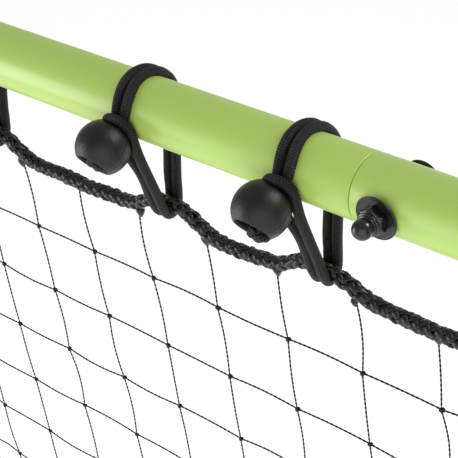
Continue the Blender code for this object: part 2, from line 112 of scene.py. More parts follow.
# Net, rope and ties, in millimetres
ROPE_OFFSET = 73
ROPE_PULL = 12
ROPE_PULL_REACH = 24
ROPE_AT_TIE = 61
ROPE_BEARING = 3.4
ROPE_STRANDS = 4
ROPE_LAY = 26.0
ROPE_MEAN_RADIUS = 3.2
ROPE_WEAVE = 0.48
STRAND_HALF_WIDTH = 1.95
STRAND_HALF_THICKNESS = 0.85
ROPE_STEP = 1.1
RAIL_TIE_STATIONS = (-296, -149, -39, 105, 200, 296)
STILE_TIE_STATIONS = (-296, -149, -39, 71, 181, 296)
TIE_LEAN_ALONG = 3
MESH_PITCH = 51
FIRST_UPRIGHT = -374.4
TOP_CROSSING = 841
UPRIGHTS = 16
CROSSINGS = 15
KNOT_SCATTER = 0.55
TWINE_SLACK = 0.8
TWINE_BESIDE_KNOT = 0.35
TWINE_PLY_TURN = 6.4
TWINE_HALF_WIDTH = 0.62
TWINE_HALF_THICKNESS = 0.4
TWINE_STEP = 0.95
EYE_INSIDE_ROPE = 1.4
BALL_RADIUS = 14.75
BALL_FROM_AXIS = 33
BALL_SET_BELOW = math.radians(15)
CORD_RADIUS = 2.8
CORD_SQUASH = 0.7
CORD_INSIDE_BALL = 16
CORD_END_BELOW_NECK = 8
CORD_ENDS_ASIDE = 1.6
CORD_STEP = 1.15
BEDDING_GAP = 0.1
STOPPER_CORD_RADIUS = 2.2
STOPPER_SIZE = 1.42

# How a tie hangs: its mouth's aim down, in radians, its aim along the tube, its place along it, and its sway
AIM_LEAST = (0.32, -0.12, -2.8, 0.0)
AIM_MOST = (0.6, 0.14, -1.2, 2.6)
CHOSEN_AIMS = {"top_2": (0.57, 0.0, -1.6, 0.6), "top_3": (0.55, 0.03, -2.7, 2.6)}

# Camera and lights, in net axes
CAMERA_AT = np.array((361.4, -428.6, 1344.2))
CAMERA_RIGHT = np.array((0.73909, 0.66056, -0.13195))
CAMERA_UP = np.array((-0.30516, 0.50297, 0.80864))
CAMERA_LENS = 113.97
LIT_SPOT = np.array((-90.0, 0.0, 955.0))

X, Y, Z = np.eye(3)
SIDES = ("top", "right", "bottom", "left")
CORNERS = ("upper_left", "upper_right", "lower_right", "lower_left")

pivot = np.array(next(j for j in frame["joints"] if j["name"] == "support_fold")["pos_m"])
NET_AXES = np.array((
    (1.0, 0.0, 0.0),
    (0.0, math.cos(LEAN), math.sin(LEAN)),
    (0.0, -math.sin(LEAN), math.cos(LEAN)),
))
NET_ORIGIN = pivot - PIVOT_UP_NET * MM * NET_AXES[2]
SUPPORT_AXES = np.array((
    (1.0, 0.0, 0.0),
    (0.0, math.cos(SUPPORT_LEAN), -math.sin(SUPPORT_LEAN)),
    (0.0, math.sin(SUPPORT_LEAN), math.cos(SUPPORT_LEAN)),
))


# ---------------------------------------------------------------- mesh tools


class Surface:
    """Point grids gathered into one mesh. In its UV map U goes round a grid and V is the metres along it."""

    def __init__(self):
        self.points, self.quads, self.triangles = [], [], []
        self.quad_uv, self.triangle_uv = [], []
        self.count = 0

    def add(self, grid, along=None, loop=False, caps=(False, False)):
        """Adds a grid of closed rows; loop joins the last row to the first, caps close the first and last."""
        rows, columns = grid.shape[:2]
        if along is None:
            steps = np.linalg.norm(np.diff(grid.mean(1), axis=0), axis=1)
            along = np.concatenate(((0,), np.cumsum(steps)))
        if loop and len(along) == rows:
            along = np.append(along, 2 * along[-1] - along[-2])
        row, column = np.meshgrid(np.arange(rows - (not loop)), np.arange(columns), indexing="ij")
        row, column = row.ravel(), column.ravel()
        next_row, next_column = (row + 1) % rows, (column + 1) % columns
        corners = ((row, column), (row, next_column), (next_row, next_column), (next_row, column))
        self.quads.append(self.count + np.stack([r * columns + c for r, c in corners], 1))
        turns = np.stack((column, column + 1, column + 1, column), 1) / columns
        lengths = np.stack((along[row], along[row], along[row + 1], along[row + 1]), 1)
        self.quad_uv.append(np.stack((turns, lengths), 2))
        self.points.append(grid.reshape(-1, 3))
        start = self.count
        self.count += rows * columns
        for end, wanted in enumerate(caps):
            if wanted:
                self.cap(grid[-end], start + end * (rows - 1) * columns, bool(end), along[-end])

    def cap(self, rim, first, forward, length):
        """Closes a rim with triangles to its middle; forward says that the cap faces along the rows."""
        columns = len(rim)
        one = np.arange(columns)
        two = (one + 1) % columns
        pair = (one, two) if forward else (two, one)
        middle = np.full(columns, self.count)
        self.triangles.append(np.stack((first + pair[0], first + pair[1], middle), 1))
        self.points.append(rim.mean(0)[None])
        uv = np.stack((np.stack([pair[0], pair[1], one], 1) / columns, np.full((columns, 3), length)), 2)
        self.triangle_uv.append(uv)
        self.count += 1

    def finish(self, name, material, body, slot, nodes, sharp=40):
        """Makes the piece, in the row frame's metres, puts it under its body's empty and hides the CAD nodes
        it stands in for.
        """
        mesh = bpy.data.meshes.new(name)
        faces = [face for part in self.quads + self.triangles for face in part.tolist()]
        mesh.from_pydata(np.concatenate(self.points).tolist(), [], faces)
        uv = np.concatenate([part.reshape(-1, 2) for part in self.quad_uv + self.triangle_uv])
        mesh.uv_layers.new(name="surface").data.foreach_set("uv", uv.astype(np.float32).ravel())
        mesh.shade_smooth()
        mesh.set_sharp_from_angle(angle=math.radians(sharp))
        mesh.materials.append(material)
        piece = bpy.data.objects.new(name, mesh)
        bpy.context.scene.collection.objects.link(piece)
        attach(piece, body)
        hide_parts(*nodes)
        return piece


def unit(vectors):
    return vectors / np.linalg.norm(vectors, axis=-1, keepdims=True)


def to_net(points):
    """Millimetres in net axes to the row frame."""
    return NET_ORIGIN + MM * (points @ NET_AXES)


def to_support(points):
    """Millimetres in the support's axes, zero on the fold's axis, to the row frame."""
    return pivot + MM * (points @ SUPPORT_AXES)


def circle(sides):
    return 2 * np.pi * np.arange(sides) / sides


def rings(centres, tangents, outwards, radii, sides):
    """Round rings: centre + radius * (cos a * outward + sin a * tangent x outward)."""
    turn = circle(sides)[None, :, None]
    across = np.cross(tangents, outwards)
    radii = np.broadcast_to(np.asarray(radii, float), (len(centres),))[:, None, None]
    return centres[:, None] + radii * (np.cos(turn) * outwards[:, None] + np.sin(turn) * across[:, None])


def turned(profile, sides, origin, axis, reference, reach=None):
    """A turned grid: each profile row (radius, height) is a circle about the axis.

    A reach function of (angle, radius, height) may change a row's radius with the angle.
    """
    profile = np.array(profile, float)
    radius, height = profile[:, :1], profile[:, 1:]
    turn = circle(sides)[None]
    radius = np.broadcast_to(radius, (len(profile), sides))
    if reach:
        radius = reach(turn, radius, height)
    across = np.cross(axis, reference)
    ring = radius[..., None] * (np.cos(turn)[..., None] * reference + np.sin(turn)[..., None] * across)
    return origin + ring + height[..., None] * axis


def arc(centre, radius, start, end, steps):
    """Profile points on an arc, in degrees from the radius direction towards the height direction."""
    turn = np.radians(np.linspace(start, end, steps + 1))
    return np.stack((centre[0] + radius * np.cos(turn), centre[1] + radius * np.sin(turn)), 1)


def through(points, spacing):
    """A smooth curve through given points, as Catmull-Rom pieces, read at evenly spaced stations."""
    points = np.array(points, float)
    padded = np.concatenate((2 * points[:1] - points[1:2], points, 2 * points[-1:] - points[-2:-1]))
    t = np.linspace(0, 1, 13)[None, :-1, None]
    p0, p1, p2, p3 = (padded[i:len(padded) - 3 + i, None] for i in range(4))
    curve = 0.5 * (
        2 * p1 + (p2 - p0) * t + (2 * p0 - 5 * p1 + 4 * p2 - p3) * t**2 + (3 * p1 - p0 - 3 * p2 + p3) * t**3
    )
    curve = np.concatenate((curve.reshape(-1, 3), points[-1:]))
    length = np.concatenate(((0,), np.cumsum(np.linalg.norm(np.diff(curve, axis=0), axis=1))))
    stations = np.linspace(0, length[-1], int(length[-1] / spacing) + 1)
    return np.stack([np.interp(stations, length, curve[:, i]) for i in range(3)], 1), stations


def carried_normals(tangents, first):
    """Normals carried along a path without twist: each is the last one, made square to its own tangent."""
    normals = np.empty_like(tangents)
    normal = first
    for i, tangent in enumerate(tangents):
        normal = normal - tangent * (normal @ tangent)
        normal = normal / np.linalg.norm(normal)
        normals[i] = normal
    return normals


def cord_rings(path, radius, sides, closed=False):
    """A round tube along a path in space."""
    if closed:
        tangents = unit(np.roll(path, -1, 0) - np.roll(path, 1, 0))
    else:
        tangents = unit(np.gradient(path, axis=0))
    first = np.cross(tangents[0], (0.31, 0.52, 0.79))
    return rings(path, tangents, carried_normals(tangents, first), radius, sides)


def extruded_outline(outline, span, edge):
    """A closed outline drawn out along the first axis, one row a section, its ends rounded over by edge."""
    middle = outline.mean(0)
    low, high = span
    steps = np.radians(np.linspace(0, 90, 5))
    inset = edge * (1 - np.sin(steps))
    place = edge * (1 - np.cos(steps))
    shrink = np.concatenate((inset, inset[::-1]))
    x = np.concatenate((low + place, high - place[::-1]))
    direction = unit(middle - outline)
    rows = outline[None] + shrink[:, None, None] * direction[None]
    return np.concatenate((np.broadcast_to(x[:, None, None], (*rows.shape[:2], 1)), rows), 2)


# ---------------------------------------------------------------- finishes


class Finish:
    """A Principled material and the short calls that wire its pattern."""

    def __init__(self, name, colour, roughness, **sockets):
        self.material = bpy.data.materials.new(name)
        self.material.use_nodes = True
        self.material.diffuse_color = (*colour, 1)
        self.tree = self.material.node_tree
        self.shader = self.tree.nodes["Principled BSDF"]
        self.shader.inputs["Base Color"].default_value = (*colour, 1)
        self.shader.inputs["Roughness"].default_value = roughness
        for socket, value in sockets.items():
            self.shader.inputs[socket.replace("_", " ")].default_value = value

    def node(self, kind, inputs=(), **properties):
        made = self.tree.nodes.new(kind)
        for name, value in properties.items():
            setattr(made, name, value)
        for socket, value in dict(inputs).items():
            if isinstance(value, bpy.types.NodeSocket):
                self.tree.links.new(value, made.inputs[socket])
            else:
                made.inputs[socket].default_value = value
        return made

    def where(self, scale=(1, 1, 1), surface=False):
        """Object coordinates in metres, or the piece's own UV map, each axis times its scale."""
        source = self.node("ShaderNodeTexCoord").outputs["UV" if surface else "Object"]
        return self.node("ShaderNodeMapping", {"Vector": source, "Scale": scale}).outputs["Vector"]

    def noise(self, where, scale, detail=3.0, roughness=0.5):
        inputs = {"Vector": where, "Scale": scale, "Detail": detail, "Roughness": roughness}
        return self.node("ShaderNodeTexNoise", inputs).outputs["Fac"]

    def math(self, operation, one, two=0.0):
        return self.node("ShaderNodeMath", {0: one, 1: two}, operation=operation).outputs[0]

    def between(self, value, low, high, from_low=0.3, from_high=0.7):
        """value's range from_low to from_high, drawn out to low and high."""
        inputs = {"Value": value, "To Min": low, "To Max": high, "From Min": from_low, "From Max": from_high}
        return self.node("ShaderNodeMapRange", inputs).outputs["Result"]

    def tint(self, value, dark, light):
        """Colour from dark to light by value."""
        ramp = self.node("ShaderNodeValToRGB", {"Fac": value})
        ramp.color_ramp.elements[0].color = (*dark, 1)
        ramp.color_ramp.elements[1].color = (*light, 1)
        self.tree.links.new(ramp.outputs["Color"], self.shader.inputs["Base Color"])

    def rough(self, value, low, high):
        self.tree.links.new(self.between(value, low, high), self.shader.inputs["Roughness"])

    def relief(self, height, distance, strength=1.0):
        bump = self.node("ShaderNodeBump", {"Height": height, "Distance": distance, "Strength": strength})
        self.tree.links.new(bump.outputs["Normal"], self.shader.inputs["Normal"])


def powder_coat():
    """Gloss green powder coat: faint orange peel, and a faint draw along the tube."""
    green = Finish("green_powder_coat", (0.44, 0.625, 0.127), 0.42, Coat_Weight=0.25, Coat_Roughness=0.22)
    at = green.where()
    along = green.where((26.0, 3.0, 1.0), surface=True)
    draw = green.noise(along, 3.0, 4.0, 0.6)
    cloud = green.noise(at, 14.0, 2.0)
    mixed = green.math("ADD", green.math("MULTIPLY", draw, 0.55), green.math("MULTIPLY", cloud, 0.45))
    green.tint(green.between(mixed, 0.0, 1.0, 0.35, 0.65), (0.43, 0.61, 0.122), (0.45, 0.64, 0.132))
    green.rough(draw, 0.33, 0.40)
    peel = green.noise(at, 620.0, 2.0, 0.4)
    green.relief(green.math("ADD", peel, green.math("MULTIPLY", draw, 0.35)), 0.00005, 0.55)
    return green.material


def plastic(name, grey, roughness, grain, depth, coat=0.0):
    """Black moulded plastic: a fine grain, and worn patches that shine a little differently."""
    black = Finish(
        name, (grey, grey, grey), roughness, Coat_Weight=coat, Coat_Roughness=0.2, Specular_IOR_Level=0.4
    )
    at = black.where()
    wear = black.noise(at, 90.0, 4.0, 0.6)
    black.tint(wear, (grey * 0.75,) * 3, (grey * 1.5, grey * 1.5, grey * 1.45))
    black.rough(wear, roughness - 0.06, roughness + 0.08)
    fine = black.noise(at, grain, 3.0, 0.65)
    black.relief(fine, depth, 0.6)
    return black.material


def ball_plastic():
    """Matt black plastic with a sandy grain, light specks, and a mould line round the ball."""
    black = Finish("ball_plastic", (0.022, 0.022, 0.023), 0.42, Specular_IOR_Level=0.36)
    at = black.where()
    grain = black.noise(at, 1500.0, 3.0, 0.7)
    cloud = black.noise(at, 120.0, 3.0)
    speck = black.math("POWER", black.noise(at, 1900.0, 1.0), 6.0)
    colour = black.math("ADD", black.math("MULTIPLY", cloud, 0.35), black.math("MULTIPLY", speck, 5.0))
    black.tint(colour, (0.004, 0.004, 0.0045), (0.016, 0.016, 0.017))
    black.rough(cloud, 0.3, 0.38)
    split = black.node("ShaderNodeSeparateXYZ", {"Vector": black.where(surface=True)})
    turn = black.math("SINE", black.math("MULTIPLY", split.outputs["X"], 2 * math.pi))
    line = black.math("POWER", black.math("SUBTRACT", 1.0, black.math("ABSOLUTE", turn)), 60.0)
    height = black.math("ADD", black.math("MULTIPLY", grain, 0.7), black.math("MULTIPLY", line, 1.3))
    black.relief(height, 0.0003, 0.8)
    return black.material


def braid(name, around, pitch, grey, roughness, depth):
    """A braided sleeve: two sets of yarns cross on the cord, each a ridge, one over the other in turn. Its
    colour is painted lighter on the ridges and darker in the grooves between them as painted shade, mixed
    with a random fuzz of tone.
    """
    black = Finish(name, (grey, grey, grey), roughness, Specular_IOR_Level=0.3)
    split = black.node("ShaderNodeSeparateXYZ", {"Vector": black.where(surface=True)})
    turn = black.math("MULTIPLY", split.outputs["X"], 2 * math.pi * around)
    run = black.math("MULTIPLY", split.outputs["Y"], 2 * math.pi / pitch)
    one = black.math("SINE", black.math("ADD", turn, run))
    two = black.math("SINE", black.math("SUBTRACT", turn, run))
    over = black.math("SINE", black.math("MULTIPLY", run, 0.5))
    weave = black.math("MAXIMUM", one, two)
    height = black.math("ADD", weave, black.math("MULTIPLY", over, 0.15))
    fuzz = black.noise(black.where(), 2600.0, 2.0, 0.7)
    # Painted shade: the base colour follows the weave, lighter on the yarn crests and darker in the grooves,
    # mixed with random fuzz.
    painted_rib_shade_and_fuzz = black.math("ADD", black.math("MULTIPLY", weave, 0.55), black.math("MULTIPLY", fuzz, 0.4))
    share = black.between(painted_rib_shade_and_fuzz, 0.0, 1.0, 0.0, 1.1)
    black.tint(share, (grey * 0.35,) * 3, (grey * 2.2, grey * 2.2, grey * 2.15))
    black.relief(black.math("ADD", height, black.math("MULTIPLY", fuzz, 0.4)), depth, 0.8)
    return black.material


def filament(name, grey, roughness, depth, coat):
    """Bundles of glossy filaments: fine lines along each bundle, some painted lighter as painted glints, in
    patches that also change the roughness.
    """
    black = Finish(
        name, (grey, grey, grey), roughness, Coat_Weight=coat, Coat_Roughness=0.12, Specular_IOR_Level=0.22
    )
    lines = black.noise(black.where((14.0, 260.0, 1.0), surface=True), 1.0, 3.0, 0.7)
    patch = black.noise(black.where(), 420.0, 3.0, 0.7)
    # Painted glints: the base colour is lighter where the lines and the patches are both high.
    black.tint(black.math("MULTIPLY", lines, patch), (grey * 0.5,) * 3, (grey * 3.0,) * 3)
    black.rough(patch, roughness - 0.12, roughness + 0.12)
    black.relief(black.math("ADD", lines, black.math("MULTIPLY", patch, 0.8)), depth, 0.9)
    return black.material


def make_finishes():
    return {
        "coat": powder_coat(),
        "bolt": plastic("black_steel", 0.02, 0.24, 500.0, 0.00002, 0.3),
        "washer": plastic("washer_nylon", 0.007, 0.34, 700.0, 0.00002, 0.05),
        "nut": plastic("nut_cover", 0.005, 0.2, 500.0, 0.00002, 0.3),
        "ball": ball_plastic(),
        "cord": braid("elastic_braid", 5.0, 0.0013, 0.009, 0.5, 0.0005),
        "rope": filament("rope_filament", 0.005, 0.32, 0.0002, 0.35),
        "twine": filament("net_twine", 0.006, 0.5, 0.0001, 0.0),
        "hub": plastic("hub_plastic", 0.017, 0.46, 1100.0, 0.00006),
        "knob": plastic("knob_plastic", 0.013, 0.40, 900.0, 0.00006),
        "foot": plastic("foot_rubber", 0.016, 0.62, 700.0, 0.0001),
    }


# ---------------------------------------------------------------- tubes


def rounded_run(corners, radius, steps):
    """A path of straights and round bends through corners: its centres, its tangents, and the directions that
    point away from the inside of the bends."""
    centres, tangents = [corners[0]], [unit(corners[1] - corners[0])]
    for before, corner, after in zip(corners, corners[1:], corners[2:]):
        into, out = unit(corner - before), unit(after - corner)
        centre = corner + radius * (out - into)
        turn = np.linspace(0, np.pi / 2, steps + 1)[:, None]
        centres += list(centre + radius * (np.cos(turn) * -out + np.sin(turn) * into))
        tangents += list(np.cos(turn) * into + np.sin(turn) * out)
    centres.append(corners[-1])
    tangents.append(unit(corners[-1] - corners[-2]))
    tangents = np.array(tangents)
    return np.array(centres), tangents, np.cross(tangents, Y)


def along_axis(side):
    """The running direction of a side in net axes: the tubes plug into each other clockwise."""
    return np.array(((1, 0, 0), (0, 0, -1), (-1, 0, 0), (0, 0, 1))[side % 4], float)


def out_axis(side):
    """The direction out of the net at a side, in net axes."""
    return np.cross(along_axis(side), Y)


def rail_middle(side):
    return HALF_FRAME * (Z + out_axis(side))


def frame_tube(corner):
    """Rows of one tube: from its socket, with rounded rims at the seams, to its spigot, and back inside."""
    before, after = corner - 1, corner
    start = rail_middle(before) + along_axis(before) * TUBE_GAP / 2
    end = rail_middle(after) - along_axis(after) * TUBE_GAP / 2
    bend = rail_middle(before) + rail_middle(after) - HALF_FRAME * Z
    centres, tangents, outwards = rounded_run([start, bend, end], BEND_RADIUS, 28)
    last = len(centres) - 1
    over = np.radians(np.linspace(0, 90, 5))
    rows = [(0, EDGE_ROUND * (1 - math.cos(a)), TUBE_RADIUS - EDGE_ROUND * (1 - math.sin(a))) for a in over]
    rows += [(i, 0.0, TUBE_RADIUS) for i in range(1, last)]
    rows += [(last, -step, radius) for _, step, radius in rows[4::-1]]
    rows += [(last, 0.0, SPIGOT_RADIUS), (last, SPIGOT_LENGTH, SPIGOT_RADIUS)]
    rows += [(last, SPIGOT_LENGTH, SPIGOT_BORE), (last, 0.0, SPIGOT_BORE), (last, -SWAGE_LENGTH, TUBE_BORE)]
    rows += [(i, 0.0, TUBE_BORE) for i in range(last - 1, 0, -1)] + [(0, 0.0, TUBE_BORE)]
    index = np.array([row[0] for row in rows])
    shift = np.array([row[1] for row in rows])[:, None]
    radii = [row[2] for row in rows]
    return centres[index] + shift * tangents[index], tangents[index], outwards[index], radii


def make_frame_tubes(finishes):
    for corner, name in enumerate(CORNERS):
        tube = Surface()
        tube.add(to_net(rings(*frame_tube(corner), 80)), loop=True)
        tube.finish("green_tube_" + name, finishes["coat"], "frame", "tube_paint", ["frame_tube_" + name])


def make_support_tube(finishes):
    """A U of tube: up one arm, across the ground rail and up the other, then back inside the bore."""
    left, right = -ARM_X * X, ARM_X * X
    top, low = ARM_TOP * Z, -ARM_LENGTH * Z
    corners = [left + top, left + low, right + low, right + top]
    centres, tangents, outwards = rounded_run(corners, SUPPORT_BEND, 28)
    radii = [SUPPORT_RADIUS] * len(centres) + [SUPPORT_BORE] * len(centres)
    both = [np.concatenate((part, part[::-1])) for part in (centres, tangents, outwards)]
    tube = Surface()
    tube.add(to_support(rings(*both, radii, 72)), loop=True)
    tube.finish("green_support_tube", finishes["coat"], "support", "tube_paint", ["support_tube"])


# ---------------------------------------------------------------- bolted joints


def washer_profile():
    """A saddle washer: a foot whose first two rows are bent to the tube, and a wider face in a rolled rim."""
    rim = WASHER_RADIUS - 0.5
    return [
        (4.6, TUBE_RADIUS), (WASHER_FOOT, TUBE_RADIUS), (WASHER_FOOT, WASHER_FACE - 1.1),
        (WASHER_FOOT + 0.2, WASHER_FACE - 1.0), *arc((rim, WASHER_FACE - 0.5), 0.5, -90, 100, 8),
        (rim - 0.8, WASHER_FACE - 0.25), (rim - 1.4, WASHER_FACE - 0.35), (6.9, WASHER_FACE - 0.1),
        (4.6, WASHER_FACE - 0.1),
    ]


def washer_grid(origin, axis, along):
    """The turned washer. Its two foot rows drop to the tube: sqrt(tube radius^2 - distance off middle^2)."""
    profile = np.array(washer_profile())
    sides = 72
    grid = turned(profile, sides, origin, axis, along)
    off = profile[:2, :1] * np.sin(circle(sides))[None]
    drop = np.sqrt(TUBE_RADIUS**2 - off**2) - TUBE_RADIUS
    grid[:2] += (BEDDING_GAP + drop)[..., None] * axis
    return grid


def hexagon(turn, radius, height):
    """Rows below the collar take a hexagon's outline, cut by the chamfer's cone."""
    flat = NUT_HALF_FLATS / np.cos((turn + np.pi / 6) % (np.pi / 3) - np.pi / 6)
    return np.where(height < NUT_SEAT + NUT_HEX_HEIGHT, np.minimum(flat, radius), radius)


def nut_profile():
    """Chamfered hexagon, collar, waist and ball-shaped cap."""
    seat = NUT_SEAT
    return [
        (6.4, seat), (7.1, seat + 0.05), (7.6, seat + 0.4), (7.6, seat + 3.6), (7.0, seat + 4.05),
        (6.6, seat + 4.3), (6.1, seat + 4.5), *arc((5.7, seat + 5.1), 0.62, -60, 60, 6),
        (5.5, seat + 5.75), *arc((5.0, seat + 6.2), 0.5, -50, 75, 5), (4.6, seat + 6.8),
        *arc((0.0, seat + 9.4), 5.1, -28, 86, 18),
    ]


def head_profile(face, tip):
    """A mushroom head over face, on a shank that ends at tip."""
    dome = arc((0.0, face - 9.9), 13.9, 47.5, 88.5, 12)
    return [(4.0, tip), (4.0, face - 0.01), (9.9, face), *arc((9.75, face + 0.45), 0.45, -70, 30, 4), *dome]


def make_joint_fasteners(finishes):
    """Beside each seam: a bolt through the joint from the hitting side, a washer, and a cap nut behind."""
    axis = -Y
    head = head_profile(JOINT_BOLT_FACE, JOINT_BOLT_TIP)
    for side, name in enumerate(SIDES):
        along = along_axis(side)
        at = rail_middle(side) + along * BOLT_FROM_SEAM
        washer, nut, bolt = Surface(), Surface(), Surface()
        washer.add(to_net(washer_grid(at, axis, along)), loop=True)
        nut.add(to_net(turned(nut_profile(), 96, at, axis, along, hexagon)), caps=(True, True))
        bolt.add(to_net(turned(head, 64, at, -axis, along)), caps=(True, True))
        washer.finish("washer_" + name, finishes["washer"], "frame", "washer", ["joint_washer_" + name], 50)
        nut.finish("cap_nut_" + name, finishes["nut"], "frame", "cap_nut", ["joint_nut_" + name], 28)
        bolt.finish("bolt_" + name, finishes["bolt"], "frame", "bolt", ["joint_bolt_" + name])


# ---------------------------------------------------------------- border rope and net


def tie_places():
    """Every tie's name, its place along the rope loop, its place on the tube and its three axes; and the
    length of a quarter of the loop."""
    quarter = 2 * (HALF_FRAME - BEND_RADIUS) + (BEND_RADIUS - ROPE_OFFSET) * np.pi / 2
    places = []
    for side, name in enumerate(SIDES):
        stations = STILE_TIE_STATIONS if side % 2 else RAIL_TIE_STATIONS
        for number, station in enumerate(stations, start=1):
            axes = np.array((along_axis(side), Y, out_axis(side)))
            at = rail_middle(side) + station * along_axis(side)
            places.append((f"{name}_{number}", side * quarter + station, at, axes))
    for corner, name in enumerate(CORNERS):
        out = unit(out_axis(corner - 1) + out_axis(corner))
        bend_middle = HALF_FRAME * Z + (HALF_FRAME - BEND_RADIUS) * math.sqrt(2) * out
        axes = np.array((np.cross(Y, out), Y, out))
        places.append(("corner_" + name, (corner - 0.5) * quarter, bend_middle + BEND_RADIUS * out, axes))
    return places, quarter


def rope_path(spacing):
    """The rope's centre: a rounded square, drawn to the tube by exp(-(gap / reach)^3) at each tie, and made a
    little uneven by slow sines in the net's plane and square to it."""
    places, quarter = tie_places()
    length = 4 * quarter
    s = np.linspace(0, length, int(length / spacing), endpoint=False)
    straight = HALF_FRAME - BEND_RADIUS
    bend = BEND_RADIUS - ROPE_OFFSET
    side = np.floor((s + quarter / 2) / quarter).astype(int)
    x = s - side * quarter
    past = np.clip(np.abs(x) - straight, 0, None) / bend * np.sign(x)
    along = np.array([along_axis(k) for k in range(4)])[side % 4]
    out = np.array([out_axis(k) for k in range(4)])[side % 4]
    ahead = np.clip(x, -straight, straight)[:, None] * along
    outward = np.cos(past)[:, None] * out + np.sin(past)[:, None] * along
    centre = HALF_FRAME * Z + straight * out + ahead + bend * outward
    ties = np.array([place[1] for place in places]) + TIE_LEAN_ALONG
    gap = np.abs((s[:, None] - ties[None] + length / 2) % length - length / 2)
    pull = ROPE_PULL * np.exp(-((gap / ROPE_PULL_REACH) ** 3)).sum(1)
    turn = 2 * np.pi * s / length
    wander = 0.5 * np.sin(41 * turn) + 0.35 * np.sin(67 * turn + 1.0)
    lift = 0.5 * np.sin(53 * turn + 2.0) + 0.3 * np.sin(31 * turn)
    centre = centre + (pull + wander)[:, None] * outward + lift[:, None] * Y
    return s, length, centre, outward


def make_rope(finishes):
    """Two sets of four flat strands wind about the rope's centre in opposite ways. A strand's distance from
    the centre rises and falls as a cosine, so that it passes over and under the other set in turn."""
    random = np.random.default_rng(11)
    s, length, centre, outward = rope_path(ROPE_STEP)
    winding = 2 * np.pi * round(length / ROPE_LAY) * s / length
    base = 2 * np.pi * s / length
    for way, name in ((1, "right_lay"), (-1, "left_lay")):
        rope = Surface()
        for strand in range(ROPE_STRANDS):
            phases = random.uniform(0, 2 * np.pi, 4)
            loose = 0.16 * np.sin(97 * base + phases[0]) + 0.12 * np.sin(211 * base + phases[1])
            angle = way * winding + 2 * np.pi * strand / ROPE_STRANDS + loose
            swell = 0.22 * np.sin(157 * base + phases[2]) + 0.2 * np.sin(283 * base + phases[3])
            reach = ROPE_MEAN_RADIUS + way * ROPE_WEAVE * np.cos(ROPE_STRANDS * winding) + swell
            radial = np.cos(angle)[:, None] * outward + np.sin(angle)[:, None] * Y
            line = centre + reach[:, None] * radial
            tangent = unit(np.roll(line, -1, 0) - np.roll(line, 1, 0))
            across = unit(np.cross(tangent, radial))
            up = np.cross(across, tangent)
            turn = circle(6)[None, :, None]
            width = (STRAND_HALF_WIDTH + 0.25 * np.sin(119 * base + phases[1]))[:, None, None]
            grid = line[:, None] + STRAND_HALF_THICKNESS * np.cos(turn) * up[:, None]
            rope.add(to_net(grid + width * np.sin(turn) * across[:, None]), along=s * MM, loop=True)
        rope.finish("border_rope_" + name, finishes["rope"], "frame", "rope", ["border_rope"], 180)


def rope_limit(position):
    """Distance from the net's middle to the rope, for a twine at that distance off the middle line."""
    straight = HALF_FRAME - BEND_RADIUS
    bend = BEND_RADIUS - ROPE_OFFSET
    past = np.clip(np.abs(position) - straight, 0, bend * 0.95)
    return straight + np.sqrt(bend**2 - past**2)


def twine_grid(knots_at, knots_off, random):
    """Lengths along a twine, aside from it and square to the net, for each point of its skin.

    Between knots it bows by half a sine of slack. Its two plies make an oval section that turns as it goes.
    """
    low, high = knots_at[0], knots_at[-1]
    stations = np.linspace(low, high, int((high - low) / TWINE_STEP))
    cell = np.searchsorted(knots_at, stations, side="right").clip(1, len(knots_at) - 1) - 1
    bow = np.sin(np.pi * (stations - knots_at[cell]) / (knots_at[cell + 1] - knots_at[cell]))
    slack = random.normal(0, TWINE_SLACK, len(knots_at))[cell]
    lift = random.normal(0, TWINE_SLACK, len(knots_at))[cell]
    off = np.interp(stations, knots_at, knots_off) + slack * bow
    ply = (2 * np.pi * stations / TWINE_PLY_TURN)[:, None]
    wide = TWINE_HALF_WIDTH * np.cos(circle(6))
    thin = TWINE_HALF_THICKNESS * np.sin(circle(6))
    aside = off[:, None] + wide * np.cos(ply) - thin * np.sin(ply)
    square = (lift * bow)[:, None] + wide * np.sin(ply) + thin * np.cos(ply)
    return stations[:, None], aside, square


def in_net(run, aside, square, upright):
    """Points in net axes from lengths along a twine, aside from it and square to the net."""
    ordered = (aside, square, run) if upright else (run, square, aside)
    return np.stack(np.broadcast_arrays(*ordered), -1)


def add_twines(twines, eyes, places, crossed, knots_off, upright, random):
    """The twines that run one way, from rope to rope about the net's middle, with an eye at each end."""
    run_middle, aside_middle = (HALF_FRAME, 0.0) if upright else (0.0, HALF_FRAME)
    for place, off in zip(places, knots_off):
        reach = rope_limit(place - aside_middle)
        knots_at = np.concatenate(((run_middle - reach,), crossed, (run_middle + reach,)))
        grid = in_net(*twine_grid(knots_at, off, random), upright)
        twines.add(to_net(grid if upright else grid[:, ::-1]), caps=(True, True))
        for end in (-1, 1):
            eye_at = in_net(run_middle + end * (reach - EYE_INSIDE_ROPE), place, 0.0, upright)
            eye = eye_grid(eye_at, in_net(-end, 0.0, 0.0, upright), random)
            eyes.add(to_net(eye), caps=(True, True))


